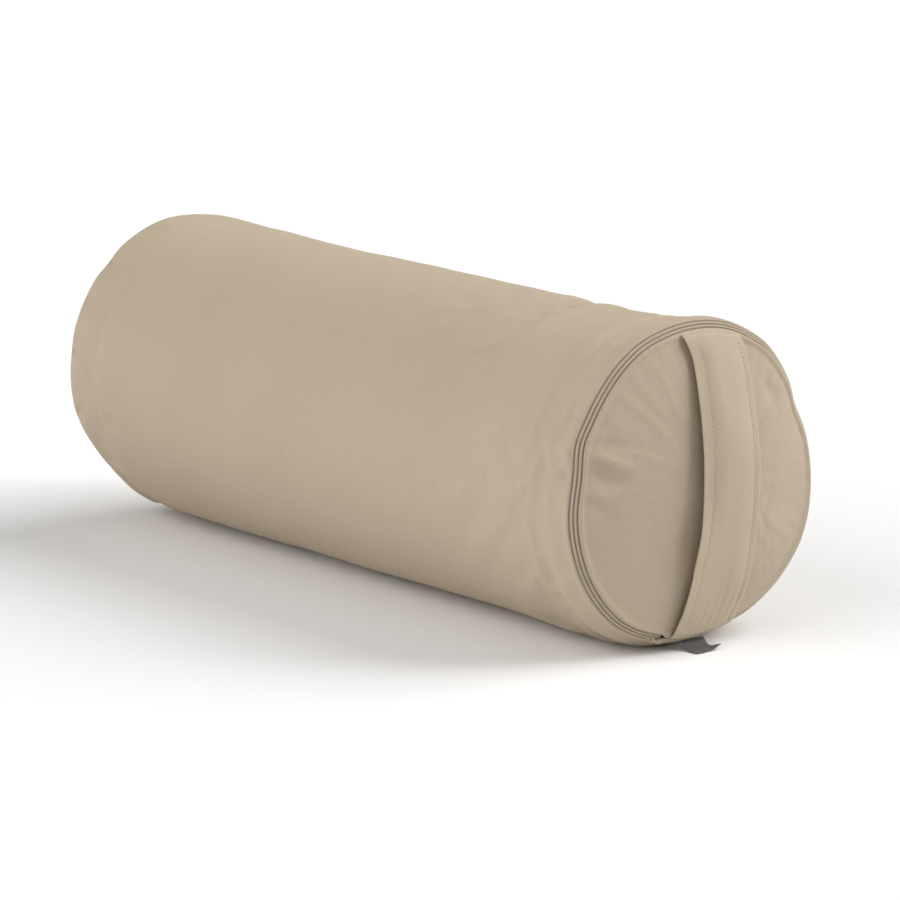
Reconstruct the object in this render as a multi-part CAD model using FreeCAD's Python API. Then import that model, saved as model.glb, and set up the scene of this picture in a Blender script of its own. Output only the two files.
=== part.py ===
import FreeCAD, Part
import math
import os

# Round bolster cushion: a zipped cotton cover with a carry strap on one end, over a lined, fibre-filled cushion.
# Millimetres. X is the bolster's axis (strap at +X), Z is up, and the origin is on the floor under the middle.

# ---- driving dimensions -------------------------------------------------------------------------------------------
END_Z = 113.5  # height of both end seams' centre: the round ends just clear the floor
TUBE_SECTIONS = [  # position along X, cover radius, centre height; the weight presses the middle flat underneath
    (-279.9, 105.5, END_Z), (-272.0, 108.4, 112.9), (-260.0, 110.0, 112.2), (-240.0, 110.3, 111.4), (-200.0, 110.5, 110.3),
    (-150.0, 110.0, 109.2), (-100.0, 109.6, 108.3), (-50.0, 109.4, 107.9), (0.0, 109.4, 107.6), (50.0, 109.4, 107.5),
    (100.0, 109.2, 107.2), (150.0, 109.1, 106.6), (185.0, 109.3, 106.2), (220.0, 109.9, 106.5), (245.0, 110.4, 107.7),
    (262.0, 110.3, 109.8), (272.0, 109.0, 112.2), (277.6, 107.9, END_Z),
]
TUBE_FAR_X, FAR_TUBE_R = TUBE_SECTIONS[0][:2]
TUBE_NEAR_X, END_R = TUBE_SECTIONS[-1][:2]
TUBE_INSIDE = 275.0  # the tube's sections between its two edges lie within this of the middle
COVER_T = 1.0  # cover cloth thickness

ZIP_X = 281.0  # circle through the zip's slit: position along X
ZIP_R = 105.2  # circle through the zip's slit: radius
ZIP_LEAN = 45.0  # the zip lies on a cone that faces half out and half along X, degrees
ZIP_START = -105.5  # closed end of the zip, angle about +X from +Y, degrees
ZIP_END = -434.5  # open end of the zip, the long way round, degrees
SLIT_HALF = 0.35  # half the gap between the two tapes
RIDGE_EDGE = 4.1  # outer edge of each visible tape ridge, from the slit
RIDGE_HALF_T = 0.5  # half thickness of a tape ridge

PANEL_R = 101.5  # edge radius of the zipped end panel
PANEL_EDGE_X = 283.6  # its height at the reference radius
PANEL_BULGE = 16.4  # how far the panel domes outward
PANEL_REF_R = 102.2  # reference radius of the panel's dome

FAR_R = 104.9  # edge radius of the plain end panel
FAR_EDGE_X = -281.0
FAR_BULGE = 17.0
SEAM_LIP_T = 0.8  # turned-in seam allowance, thickness
SEAM_LIP_R = 96.5  # turned-in seam allowance, inner radius

STRAP_WIDTH = 50.0
STRAP_T = 2.1
STRAP_END_R = 101.7  # both strap ends stop on this circle, under the zip's edge
STRAP_MID_Y = 8.0  # where the strap crosses the end panel's centre height
STRAP_SLANT = 2.2  # lean of the strap, degrees
STRAP_PROFILE = [  # distance along the strap, outer face position along X
    (-110.0, 284.6), (-101.9, 286.6), (-88.2, 291.4), (-70.6, 297.2), (-51.9, 302.6), (-29.0, 308.2),
    (0.0, 311.8), (33.2, 309.6), (59.1, 303.6), (82.0, 296.4), (94.4, 290.6), (101.9, 286.8), (110.0, 284.6),
]
STRAP_ROW_Y = 17.0  # topstitch rows, either side of the strap's centre line
STRAP_ROW_END = 92.5
TACK_ROW_S = 96.5  # rows across both ends of the strap
TACK_HALF = 22.5

THREAD_W = 0.6  # width of a sewn thread row
THREAD_T = 0.3  # height of a sewn thread row
FIT = 0.02  # air between a thread row and the cloth under it

LINER_GAP = 2.0  # from the cover's outside to the liner's outside
LINER_T = 0.5
LINER_SEAM_R = 95.7
LINER_SEAM_X = 276.0
CORNER_ROWS = [  # position along X, radius and centre height where the cushion rounds off towards its end seams
    (268.0, 103.5, 113.0), (272.0, 100.7, END_Z), (LINER_SEAM_X, LINER_SEAM_R, END_Z),
]
TUBE_MIDDLE = 263.0  # the cushion follows the cover's sections this far either way
LINER_DOME_X = 296.0
LINER_FLOOR = 1.4  # flattened underside of the liner above the floor
FILL_GAP = 0.3

COIL_R = 0.62
COIL_U = 1.1  # coil centre from the slit
COIL_W = -1.3  # coil centre behind the tapes' mid face

SLIDER_AT = -108.5  # slider centre with the zip shut, degrees
SLIDER_HALF = 2.45  # half the slider's length, degrees
PLATE_W = (-2.9, -2.1)  # back plate
PLATE_HALF = 2.6
KEEPER_W = -0.75  # top of the plate's side wall on the tube side
BRIDGE_HALF = 0.2
CROWN_W = (0.7, 1.2)
CROWN_EDGE = -3.2
PULL_U = -1.7  # pull centre line
PIVOT_W = 2.2
PIN_R = 0.35
EYE_HOLE_R = 0.42
EYE_R = 0.88
PULL_LENGTH = 9.0
PULL_NECK = 1.8
PULL_WIDTH = 3.4
PULL_T = 0.9
LUG_T = 0.4

LABEL_Y = (-8.0, 12.0)
LABEL_PATH = [(280.6, 6.4), (285.5, 2.2), (290.0, 0.65), (297.0, 0.5)]  # (x, z) along the folded label's middle
LABEL_T = 0.6

SEAM_ANGLE = -40.0  # where the tube's lengthwise seam runs, degrees
CLOSING_ANGLE = 40.0  # where the liner's filling opening is sewn shut
CLOSING_HALF = 150.0
FAR_OFF = 400.0  # bigger than the bolster, for cutting blocks

END_POINT = FreeCAD.Vector(0, 0, END_Z)
ALONG = FreeCAD.Vector(1, 0, 0)
LEAN = math.radians(ZIP_LEAN)


# ---- helpers -----------------------------------------------------------------------------------------------------
def at(x, r):
    """A point of the meridian half-plane that all turned shapes start in."""
    return FreeCAD.Vector(x, r, END_Z)


def face_of(edges):
    return Part.Face(Part.Wire(Part.__sortEdges__(edges)))


def polygon(points):
    closed = [at(x, r) for x, r in points] + [at(*points[0])]
    return Part.Face(Part.makePolygon(closed))


def curve(points):
    spline = Part.BSplineCurve()
    spline.interpolate([at(x, r) for x, r in points])
    return spline.toShape()


def lines(points):
    vectors = [at(x, r) for x, r in points]
    return [Part.makeLine(a, b) for a, b in zip(vectors, vectors[1:]) if (a - b).Length > 1e-6]


def turned(face, start=0.0, sweep=360.0):
    """The face turned about the line through both end seams' centres, from angle start (degrees from +Y towards +Z)."""
    first = face.copy()
    first.rotate(END_POINT, ALONG, start)
    return first.revolve(END_POINT, ALONG, sweep)


def one_solid(shape):
    solids = shape.Solids
    assert len(solids) == 1, len(solids)
    return solids[0]


def above(shape, height):
    """The part of a shape above a level floor."""
    block = Part.makeBox(2 * FAR_OFF, 2 * FAR_OFF, FAR_OFF, FreeCAD.Vector(-FAR_OFF, -FAR_OFF, height - FAR_OFF))
    return one_solid(shape.cut(block))


def stations(shrink, limit):
    """(x, radius, centre height) along the tube, up to limit either way from the middle."""
    return [(x, r - shrink, z) for x, r, z in TUBE_SECTIONS if abs(x) <= limit]


def circles_solid(rows):
    """Solid through circles that face along X."""
    wires = [Part.Wire(Part.makeCircle(r, FreeCAD.Vector(x, 0, z), ALONG)) for x, r, z in rows]
    return Part.makeLoft(wires, True, True)


def thread_along(shrink, angle, limit):
    """Thin thread row along the tube at one angle, up to limit either way from the middle."""
    a = math.radians(angle)
    out = FreeCAD.Vector(0, math.cos(a), math.sin(a))
    side = FreeCAD.Vector(0, -math.sin(a), math.cos(a)) * (THREAD_W / 2)
    wires = []
    for x, r, z in stations(shrink, limit):
        low = FreeCAD.Vector(x, 0, z) + out * (r + FIT)
        high = low + out * THREAD_T
        wires.append(Part.makePolygon([low - side, low + side, high + side, high - side, low - side]))
    return one_solid(Part.makeLoft(wires, True, True))


def dome_x(r, edge_x, bulge, reference):
    return edge_x + bulge * (1 - (r / reference) ** 2)


def dome_points(edge_r, edge_x, bulge, reference, shift=0.0):
    steps = 10
    radii = [edge_r * (1 - i / steps) for i in range(steps + 1)]
    return [(dome_x(r, edge_x, bulge, reference) + shift, r) for r in radii]


def cone(u, w):
    """A point across the zip: u from the tube side to the panel side, w outward."""
    return (ZIP_X + u * math.cos(LEAN) + w * math.sin(LEAN), ZIP_R - u * math.sin(LEAN) + w * math.cos(LEAN))


def cone_box(u0, u1, w0, w1):
    return polygon([cone(u0, w0), cone(u1, w0), cone(u1, w1), cone(u0, w1)])


def zip_frame(angle, u, w):
    """Placement at one spot of the zip, with local X along it, local Y across it and local Z outward."""
    a = math.radians(angle)
    x, r = cone(u, w)
    along = FreeCAD.Vector(0, -math.sin(a), math.cos(a))
    across = FreeCAD.Vector(math.cos(LEAN), -math.sin(LEAN) * math.cos(a), -math.sin(LEAN) * math.sin(a))
    out = FreeCAD.Vector(math.sin(LEAN), math.cos(LEAN) * math.cos(a), math.cos(LEAN) * math.sin(a))
    spot = FreeCAD.Vector(x, r * math.cos(a), END_Z + r * math.sin(a))
    return FreeCAD.Placement(
        FreeCAD.Matrix(
            along.x, across.x, out.x, spot.x,
            along.y, across.y, out.y, spot.y,
            along.z, across.z, out.z, spot.z,
            0, 0, 0, 1,
        )
    )


# ---- cover -------------------------------------------------------------------------------------------------------
def cover_tube():
    """Cloth tube, flattened where it rests, with a turned-in seam lip at the plain end."""
    lip_x = TUBE_FAR_X + SEAM_LIP_T
    outer = circles_solid(TUBE_SECTIONS)
    inside = stations(COVER_T, TUBE_INSIDE)
    inner = circles_solid([(lip_x, FAR_TUBE_R - COVER_T, END_Z)] + inside + [(TUBE_NEAR_X + 1, END_R - COVER_T, END_Z)])
    mouth = Part.makeCylinder(SEAM_LIP_R, 10, FreeCAD.Vector(TUBE_FAR_X - 1, 0, END_Z), ALONG)
    return one_solid(above(outer, 0).cut(above(inner, COVER_T)).cut(mouth))


def far_end_panel():
    """Domed round panel with a seam lip that lies against the tube's lip."""
    outside = dome_points(FAR_R, FAR_EDGE_X, -FAR_BULGE, FAR_R)
    inside = dome_points(SEAM_LIP_R, FAR_EDGE_X, -FAR_BULGE, FAR_R, COVER_T)
    lip_x = TUBE_FAR_X - 0.1
    section = face_of(
        [curve(outside), curve(inside)]
        + lines([outside[-1], inside[-1]])
        + lines([inside[0], (lip_x - SEAM_LIP_T, SEAM_LIP_R), (lip_x, SEAM_LIP_R), (lip_x, FAR_R), outside[0]])
    )
    return one_solid(turned(section))


def handle_end_panel():
    """Domed round panel that opens like a hatch, with a plain-seam lip where it hangs from the tube."""
    outside = dome_points(PANEL_R, PANEL_EDGE_X, PANEL_BULGE, PANEL_REF_R)
    inside = dome_points(PANEL_R, PANEL_EDGE_X, PANEL_BULGE, PANEL_REF_R, -COVER_T)
    section = face_of([curve(outside), curve(inside)] + lines([outside[0], inside[0]]) + lines([outside[-1], inside[-1]]))
    dome = turned(section)
    lip = polygon([
        cone(SLIT_HALF, -RIDGE_HALF_T), cone(RIDGE_EDGE, -RIDGE_HALF_T), (outside[0][0] - COVER_T, PANEL_R - 0.8),
        (outside[0][0] + 0.1, PANEL_R - 0.8), cone(RIDGE_EDGE, RIDGE_HALF_T), cone(SLIT_HALF, RIDGE_HALF_T),
    ])
    seam = turned(lip, ZIP_START + 0.3, ZIP_END + 360 - ZIP_START - 0.6)
    return one_solid(dome.fuse(seam))


def foot_seam_strip():
    """Short stretch without zip, where the tube's edge is sewn straight to the end panel."""
    section = cone_box(-RIDGE_EDGE, -SLIT_HALF, -RIDGE_HALF_T, RIDGE_HALF_T)
    return one_solid(turned(section, ZIP_START + 0.3, ZIP_END + 360 - ZIP_START - 0.6))


def foot_seam_stitch():
    section = cone_box(-2.3, -2.3 + THREAD_W, -RIDGE_HALF_T - THREAD_T - FIT, -RIDGE_HALF_T - FIT)
    return one_solid(turned(section, ZIP_START + 1, ZIP_END + 360 - ZIP_START - 2))


def far_rim_stitch():
    """Thread row that joins the two seam lips of the plain end, on the inside."""
    x, r = TUBE_FAR_X + SEAM_LIP_T + FIT, SEAM_LIP_R + 3
    return one_solid(turned(polygon([(x, r), (x + THREAD_T, r), (x + THREAD_T, r + THREAD_W), (x, r + THREAD_W)])))


def long_seam_stitch():
    """Thread row of the tube's lengthwise seam."""
    return thread_along(0, SEAM_ANGLE, TUBE_INSIDE)


# ---- strap -------------------------------------------------------------------------------------------------------
def strap_band(lift0, lift1, s0, s1, y0, y1):
    """A band over part of the strap's length and width, between two heights over its outer face."""
    spline = Part.BSplineCurve()
    spline.interpolate([FreeCAD.Vector(x, 0, s) for s, x in STRAP_PROFILE])
    steps = 24

    def parameter(s):
        low, high = spline.FirstParameter, spline.LastParameter
        for _ in range(50):
            middle = (low + high) / 2
            if spline.value(middle).z < s:
                low = middle
            else:
                high = middle
        return middle

    def row(lift):
        points = []
        for i in range(steps + 1):
            t = parameter(s0 + (s1 - s0) * i / steps)
            tangent = spline.tangent(t)[0]
            normal = FreeCAD.Vector(tangent.z, 0, -tangent.x)
            points.append(spline.value(t) + normal * lift)
        made = Part.BSplineCurve()
        made.interpolate(points)
        return made.toShape(), points[0], points[-1]

    low, low_a, low_b = row(lift0)
    high, high_a, high_b = row(lift1)
    section = face_of([low, high, Part.makeLine(low_a, high_a), Part.makeLine(low_b, high_b)])
    section.translate(FreeCAD.Vector(0, y0, 0))
    band = section.extrude(FreeCAD.Vector(0, y1 - y0, 0))
    band.rotate(FreeCAD.Vector(0, 0, 0), ALONG, -STRAP_SLANT)
    band.translate(FreeCAD.Vector(0, STRAP_MID_Y, END_Z))
    return band


def strap_round():
    """The cylinder that both strap ends are trimmed to."""
    return Part.makeCylinder(STRAP_END_R, 60, FreeCAD.Vector(ZIP_X - 10, 0, END_Z), ALONG)


def handle_strap():
    """Carry strap, bowed away from the panel between its two sewn ends."""
    half = STRAP_WIDTH / 2
    reach = STRAP_END_R + 7
    return one_solid(strap_band(-STRAP_T, 0, -reach, reach, -half, half).common(strap_round()))


def handle_topstitch():
    """Two lengthwise thread rows on the strap."""
    rows = []
    for side in (-1, 1):
        y = side * STRAP_ROW_Y
        rows.append(strap_band(FIT, FIT + THREAD_T, -STRAP_ROW_END, STRAP_ROW_END, y - THREAD_W / 2, y + THREAD_W / 2))
    return Part.makeCompound([one_solid(row) for row in rows])


def handle_tack_stitch():
    """Thread rows across both ends of the strap, which hold it to the panel."""
    rows = []
    for side in (-1, 1):
        s = side * TACK_ROW_S
        row = strap_band(FIT, FIT + THREAD_T, s - THREAD_W / 2, s + THREAD_W / 2, -TACK_HALF, TACK_HALF)
        rows.append(one_solid(row.common(strap_round())))
    return Part.makeCompound(rows)


# ---- zip ---------------------------------------------------------------------------------------------------------
def along_zip(section, inset=0.0):
    return one_solid(turned(section, ZIP_START - inset, ZIP_END - ZIP_START + 2 * inset))


def zip_tape_tube_side():
    """Visible ridge beside the slit, and the leg sewn inside the tube's edge, which slants in as it goes deeper."""
    inner_r = END_R - COVER_T - 0.1
    leg_end, deep_r = TUBE_NEAR_X - 5.1, inner_r - 0.3
    return along_zip(polygon([
        cone(-RIDGE_EDGE, RIDGE_HALF_T), cone(-2.2, RIDGE_HALF_T + 0.15), cone(-SLIT_HALF, RIDGE_HALF_T),
        cone(-SLIT_HALF, -RIDGE_HALF_T), (278.6, inner_r), (278.3, inner_r - 0.5), (leg_end, deep_r - 0.5),
        (leg_end, deep_r), (277.9, inner_r), cone(-RIDGE_EDGE, -RIDGE_HALF_T),
    ]))


def zip_tape_panel_side():
    """Visible ridge beside the slit, and the leg sewn behind the end panel's edge."""
    leg_r = PANEL_R - 11.8
    return along_zip(polygon([
        cone(SLIT_HALF, RIDGE_HALF_T), cone(2.2, RIDGE_HALF_T + 0.15), cone(RIDGE_EDGE, RIDGE_HALF_T),
        cone(RIDGE_EDGE, -RIDGE_HALF_T), (283.1, PANEL_R + 0.6), (282.55, PANEL_R + 0.1), (286.0, leg_r), (285.5, leg_r),
        (282.05, PANEL_R + 0.1), (282.05, PANEL_R + 1.9), cone(SLIT_HALF, -RIDGE_HALF_T),
    ]))


def coil(side):
    x, r = cone(side * COIL_U, COIL_W)
    ring = Part.Face(Part.Wire(Part.makeCircle(COIL_R, at(x, r), FreeCAD.Vector(0, 0, 1))))
    return along_zip(ring, 0.6)


def zip_coil_tube_side():
    return coil(-1)


def zip_coil_panel_side():
    return coil(1)


def zip_stops():
    """Small blocks on the tube-side coil's ends, which stop the slider."""
    section = cone_box(-1.8, -0.45, COIL_W - COIL_R, COIL_W + COIL_R)
    return Part.makeCompound([one_solid(turned(section, ZIP_START - 0.45, 0.8)), one_solid(turned(section, ZIP_END - 0.35, 0.8))])


def zip_stitch_tube_side():
    """Thread row that holds the tape's leg inside the tube."""
    x, r = TUBE_NEAR_X - 3.6, END_R - COVER_T - 0.9 - FIT
    return along_zip(polygon([(x, r), (x + THREAD_W, r), (x + THREAD_W, r - THREAD_T), (x, r - THREAD_T)]), 0.5)


def zip_stitch_panel_side():
    """Thread row that holds the tape's leg behind the panel."""
    x, r = 283.35, PANEL_R - 5.8
    return along_zip(polygon([(x, r), (x - THREAD_T, r), (x - THREAD_T - 0.15, r + THREAD_W), (x - 0.15, r + THREAD_W)]), 0.5)


def zip_slider():
    """Slider: back plate behind the coils, a thin bridge through the slit, and the crown with the pull's pin."""
    sections = [
        cone_box(-PLATE_HALF, PLATE_HALF, *PLATE_W),
        cone_box(-PLATE_HALF, -PLATE_HALF + 0.5, PLATE_W[0], KEEPER_W),
        cone_box(-BRIDGE_HALF, BRIDGE_HALF, PLATE_W[0], CROWN_W[1]),
        cone_box(CROWN_EDGE, BRIDGE_HALF, *CROWN_W),
    ]
    parts = [turned(section, SLIDER_AT - SLIDER_HALF, 2 * SLIDER_HALF) for section in sections]
    place = zip_frame(SLIDER_AT, PULL_U, PIVOT_W)
    eye_half = PULL_NECK / 2 - 0.1
    for side in (-1, 1):
        y = side * (eye_half + 0.1 + LUG_T / 2) - LUG_T / 2
        lug = Part.makeBox(1.8, LUG_T, PIVOT_W - CROWN_W[0] + 0.7, FreeCAD.Vector(-0.9, y, CROWN_W[0] - PIVOT_W))
        lug.Placement = place
        parts.append(lug)
    pin_half = eye_half + 0.1 + LUG_T
    pin = Part.makeCylinder(PIN_R, 2 * pin_half, FreeCAD.Vector(0, -pin_half, 0), FreeCAD.Vector(0, 1, 0))
    pin.Placement = place
    parts.append(pin)
    return one_solid(parts[0].fuse(parts[1:]))


def zip_pull():
    """Short flat pull tab on the slider's pin, lying along the zip towards the strap's foot."""
    eye_half = PULL_NECK / 2 - 0.1
    eye = Part.makeCylinder(EYE_R, 2 * eye_half, FreeCAD.Vector(0, -eye_half, 0), FreeCAD.Vector(0, 1, 0))
    neck = Part.makeBox(3.4, 2 * eye_half, PULL_T, FreeCAD.Vector(0.3, -eye_half, -PULL_T / 2))
    round_r = PULL_WIDTH / 2
    blade = Part.makeBox(PULL_LENGTH - 3.2 - round_r, PULL_WIDTH, PULL_T, FreeCAD.Vector(3.2, -round_r, -PULL_T / 2))
    tip = Part.makeCylinder(round_r, PULL_T, FreeCAD.Vector(PULL_LENGTH - round_r, 0, -PULL_T / 2))
    hole = Part.makeCylinder(EYE_HOLE_R, PULL_NECK + 1, FreeCAD.Vector(0, -PULL_NECK / 2 - 0.5, 0), FreeCAD.Vector(0, 1, 0))
    pull = eye.fuse([neck, blade, tip]).cut(hole)
    pull.Placement = zip_frame(SLIDER_AT, PULL_U, PIVOT_W)
    return one_solid(pull)


# ---- label -------------------------------------------------------------------------------------------------------
def side_label():
    """Blank folded label from the foot seam, resting on the floor."""
    half = LABEL_T / 2
    points = [(x, z + half) for x, z in LABEL_PATH] + [(x, z - half) for x, z in reversed(LABEL_PATH)]
    vectors = [FreeCAD.Vector(x, LABEL_Y[0], z) for x, z in points]
    section = Part.Face(Part.makePolygon(vectors + [vectors[0]]))
    return one_solid(section.extrude(FreeCAD.Vector(0, LABEL_Y[1] - LABEL_Y[0], 0)))


# ---- cushion -----------------------------------------------------------------------------------------------------
def cushion_rows(depth):
    """Circles of the cushion between its two end seams, this far inside the liner's outside."""
    corner = [(x, r - depth, z) for x, r, z in CORNER_ROWS]
    return [(-x, r, z) for x, r, z in reversed(corner)] + stations(LINER_GAP + depth, TUBE_MIDDLE) + corner


def liner_tube():
    outer = above(circles_solid(cushion_rows(0)), LINER_FLOOR)
    inner_rows = cushion_rows(LINER_T)
    first, last = inner_rows[0], inner_rows[-1]
    rows = [(first[0] - 1,) + first[1:]] + inner_rows + [(last[0] + 1,) + last[1:]]
    return one_solid(outer.cut(above(circles_solid(rows), LINER_FLOOR + LINER_T)))


def liner_end(side):
    """Domed round end of the liner."""
    start = LINER_SEAM_X + 0.1
    bulge = LINER_DOME_X - start
    outside = dome_points(LINER_SEAM_R, start, bulge, LINER_SEAM_R)
    inside = dome_points(LINER_SEAM_R, start, bulge, LINER_SEAM_R, LINER_T)
    section = face_of([curve(outside), curve(inside)] + lines([outside[0], inside[0]]) + lines([outside[-1], inside[-1]]))
    dome = one_solid(turned(section))
    return dome if side > 0 else one_solid(dome.mirror(FreeCAD.Vector(0, 0, 0), ALONG))


def liner_rim_stitch():
    """Thread rows of the liner's two end seams, beside each seam on the end rounds."""
    rows = []
    r = LINER_SEAM_R - 3
    x = dome_x(r, LINER_SEAM_X + 0.1, LINER_DOME_X - LINER_SEAM_X - 0.1, LINER_SEAM_R) + LINER_T + FIT
    for side in (-1, 1):
        corners = [(x, r), (x, r + THREAD_W), (x + THREAD_T, r + THREAD_W), (x + THREAD_T, r)]
        rows.append(one_solid(turned(polygon([(side * a, b) for a, b in corners]))))
    return Part.makeCompound(rows)


def liner_closing_stitch():
    """Thread row that shuts the liner's filling opening, along its side."""
    return thread_along(LINER_GAP, CLOSING_ANGLE, CLOSING_HALF)


def filling():
    """Fibre filling, one soft block."""
    depth = LINER_T + FILL_GAP
    start = LINER_SEAM_X
    dome = [(start, LINER_SEAM_R - depth)] + [
        (x - FILL_GAP - 0.2, r - depth) for x, r in dome_points(LINER_SEAM_R, start, LINER_DOME_X - start, LINER_SEAM_R)[1:-1]
    ] + [(LINER_DOME_X - FILL_GAP - 0.2, 0)]
    cap = turned(face_of([curve(dome)] + lines([(LINER_DOME_X - FILL_GAP - 0.2, 0), (start, 0), (start, LINER_SEAM_R - depth)])))
    other = cap.mirror(FreeCAD.Vector(0, 0, 0), ALONG)
    body = circles_solid(cushion_rows(depth))
    return above(body.fuse([cap, other]), LINER_FLOOR + depth)


def main():
    nodes = {
        "cover_tube": cover_tube(),
        "far_end_panel": far_end_panel(),
        "handle_end_panel": handle_end_panel(),
        "foot_seam_strip": foot_seam_strip(),
        "foot_seam_stitch": foot_seam_stitch(),
        "far_rim_stitch": far_rim_stitch(),
        "long_seam_stitch": long_seam_stitch(),
        "handle_strap": handle_strap(),
        "handle_topstitch": handle_topstitch(),
        "handle_tack_stitch": handle_tack_stitch(),
        "zip_tape_tube_side": zip_tape_tube_side(),
        "zip_tape_panel_side": zip_tape_panel_side(),
        "zip_coil_tube_side": zip_coil_tube_side(),
        "zip_coil_panel_side": zip_coil_panel_side(),
        "zip_stitch_tube_side": zip_stitch_tube_side(),
        "zip_stitch_panel_side": zip_stitch_panel_side(),
        "zip_stops": zip_stops(),
        "zip_slider": zip_slider(),
        "zip_pull": zip_pull(),
        "side_label": side_label(),
        "liner_tube": liner_tube(),
        "liner_near_end": liner_end(1),
        "liner_far_end": liner_end(-1),
        "liner_rim_stitch": liner_rim_stitch(),
        "liner_closing_stitch": liner_closing_stitch(),
        "filling": filling(),
    }
    os.makedirs("parts", exist_ok=True)
    for name, shape in nodes.items():
        assert shape.isValid(), name
        shape.exportStep("parts/" + name + ".step")


main()
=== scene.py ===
import math

import bmesh
import bpy
import numpy as np
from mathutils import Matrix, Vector, noise
from mathutils.bvhtree import BVHTree


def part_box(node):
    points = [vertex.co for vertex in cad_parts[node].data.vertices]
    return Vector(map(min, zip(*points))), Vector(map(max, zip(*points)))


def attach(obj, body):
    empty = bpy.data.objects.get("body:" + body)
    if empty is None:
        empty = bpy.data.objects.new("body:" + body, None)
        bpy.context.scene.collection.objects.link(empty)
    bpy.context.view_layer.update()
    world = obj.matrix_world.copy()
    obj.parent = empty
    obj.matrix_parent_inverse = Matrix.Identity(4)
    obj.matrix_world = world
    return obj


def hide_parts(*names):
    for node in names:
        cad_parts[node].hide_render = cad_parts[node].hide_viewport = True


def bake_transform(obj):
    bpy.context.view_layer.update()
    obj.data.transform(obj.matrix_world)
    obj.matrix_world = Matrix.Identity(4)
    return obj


# Looks of a round bolster cushion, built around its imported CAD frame. Shapes are worked out in millimetres
# in the CAD frame (X along the bolster, strap at +X, Z up, floor at 0) and turned into metres when a mesh
# is made. Angles run about +X, from +Y towards +Z, in degrees.

MM = 0.001
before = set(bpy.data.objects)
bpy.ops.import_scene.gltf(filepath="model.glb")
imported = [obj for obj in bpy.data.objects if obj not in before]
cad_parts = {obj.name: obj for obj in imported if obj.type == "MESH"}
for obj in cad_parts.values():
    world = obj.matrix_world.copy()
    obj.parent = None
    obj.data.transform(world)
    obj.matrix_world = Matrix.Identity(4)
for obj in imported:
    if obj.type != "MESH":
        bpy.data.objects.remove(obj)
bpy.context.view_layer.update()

# ---- sizes, millimetres ----
CLOTH = 1.0  # thickness of the cover's cloth
PANEL_CREASING = 0.3  # share of the simulated creases that the stretched round ends keep
CLOTH_SLACK = 0.02  # how much larger the simulated cloth is than the shape it covers
CLOTH_FRAMES = 20  # steps until the simulated cloth has settled
LINER_CLOTH = 0.5  # thickness of the inner cushion's calico
TAPE_LOW, TAPE_HIGH = 0.42, 2.25  # each zip ridge, from the slit
ZIP_X, ZIP_R = 281.0, 105.2  # circle through the zip's slit
ZIP_START, ZIP_END = -105.5, -434.5  # angles, the long way round from one side of the strap's foot
STRAP_T = 2.1  # thickness of the doubled strap
STRAP_TOP_R, STRAP_FOOT_R = 102.9, 105.3  # circles that the strap's two sewn ends reach
STITCH_PITCH, STITCH_LENGTH, STITCH_R = 3.2, 2.3, 0.34
COIL_PITCH = 1.5
COIL_R, COIL_WIRE_R = 0.46, 0.17
COIL_U, COIL_W = 1.1, -1.3  # middle of each coil, across and outward from the slit
SEAM_ANGLE = -40.0  # the tube's lengthwise seam
CLOSING_ANGLE = 40.0  # the liner's hand-closed opening
CLOSING_HALF = 148.0  # half the length of that opening
LABEL_T = 0.45
OUTSIDE = 400.0  # how far out the lines start that find spots on a surface
ROOT = math.sqrt(0.5)

# How far the two soft end seams stray from true circles: (angle, millimetres outward).
RING_STRAY = [
    (-175, -0.9), (-164, 0.0), (-153, 0.8), (-140, 1.5), (-127, 1.9), (-116, 1.0), (-108, 0.0), (-70, 0.0),
    (-63, 2.4), (-54, 4.6), (-44, 7.0), (-30, 9.2), (-20, 8.0), (-10, 5.2), (0, 2.4), (10, -0.4), (22, -5.2),
    (31, -2.2), (40, -1.2), (51, 0.4), (62, -0.4), (73, 0.0), (90, -0.4), (106, 0.0), (116, 1.2), (126, 0.6),
    (140, -0.5), (151, -0.7), (158, 0.9), (164, -1.6), (168, -3.2), (173, -3.6), (178, -2.6),
]
FAR_STRAY = [
    (-165, -0.4), (-156, -1.6), (-148, -3.2), (-138, -3.9), (-128, -2.6), (-120, 0.2), (-114, 0.8),
    (-104, 0.0), (45, 0.0), (60, 0.3), (72, 1.0), (85, 1.6), (100, 2.2), (112, 1.5), (123, 1.1), (131, -1.3),
    (138, 0.2), (150, -0.2), (163, 0.0), (172, -1.2), (180, -0.7),
]
# Soft folds in the strap's end: (y, z) from, (y, z) to, half width, height (negative is a hollow).
PANEL_FOLDS = [
    ((-93, 152), (-62, 147), 3.8, -1.5),
    ((-96, 134), (-60, 118), 4.6, -2.4),
    ((-92, 144), (-50, 128), 4.8, 2.2),
    ((-97, 121), (-76, 112), 4.0, 1.6),
    ((-97, 110), (-72, 105), 4.4, -1.2),
    ((-94, 168), (-76, 158), 3.8, -0.9),
    ((-60, 38), (-38, 56), 5.0, -1.0),
    ((60, 170), (78, 150), 6.5, -1.0),
    ((60, 30), (78, 46), 6.0, -0.9),
]
# Soft folds in the tube: (x, angle) from, (x, angle) to, half width, height.
TUBE_FOLDS = [
    ((277, 170), (242, 167), 2.6, -3.4),
    ((277, 178), (255, 183), 3.0, 1.6),
    ((277, 163), (254, 156), 3.2, 1.4),
    ((277, 146), (256, 151), 3.2, -0.8),
    ((272, 122), (248, 129), 3.6, -0.8),
    ((262, 205), (220, 214), 8.0, -1.0),
    ((-279, 131), (-258, 135), 3.0, -1.5),
    ((-279, 150), (-262, 147), 3.0, -1.4),
    ((-279, 171), (-258, 168), 3.5, -2.0),
    ((-279, 196), (-256, 192), 4.5, -2.0),
    ((-279, 112), (-262, 110), 3.0, -1.2),
]

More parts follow.
